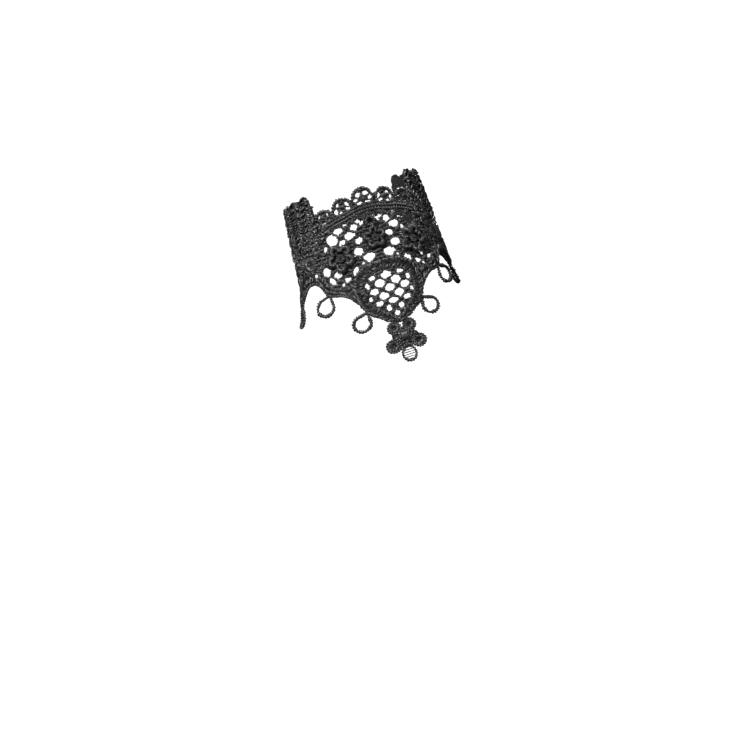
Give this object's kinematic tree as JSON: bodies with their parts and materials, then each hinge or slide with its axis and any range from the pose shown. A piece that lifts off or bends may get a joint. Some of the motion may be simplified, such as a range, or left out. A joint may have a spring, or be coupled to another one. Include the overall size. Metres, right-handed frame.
{
  "type": "lace cuff",
  "caption": "Black guipure lace cuff with a pierced front panel, scalloped edge, dense side palmettes, picot loops and a pendant flower point.",
  "frame": {"origin": "on the wrist's middle line, level with the foot of the middle rosette", "axes": "+Z along the wrist towards the elbow, -Y out of the pointed front panel, +X to the right of the panel as one looks at it"},
  "size_m": [0.0655, 0.0445, 0.0725],
  "materials": {
    "net_thread": "twisted black embroidery thread in an open net, low sheen",
    "cord_thread": "thick overcast black cord, soft sheen",
    "satin_thread": "dense black satin stitch over padding, silky sheen",
    "clasp": "plain matt black"
  },
  "bodies": {
    "root": {"scallop_edging": "net_thread", "heading_cord": "cord_thread", "front_net": "net_thread", "fan_net": "net_thread", "fan_border": "cord_thread", "lower_border_right": "cord_thread", "lower_border_left": "cord_thread", "palmette_right": "satin_thread", "palmette_left": "satin_thread", "pendant_flower": "satin_thread", "rosette_middle": "satin_thread", "rosette_right": "satin_thread", "rosette_left": "satin_thread", "back_band_right": "net_thread", "back_band_left": "net_thread", "clasp": "clasp"}
  },
  "joints": []
}
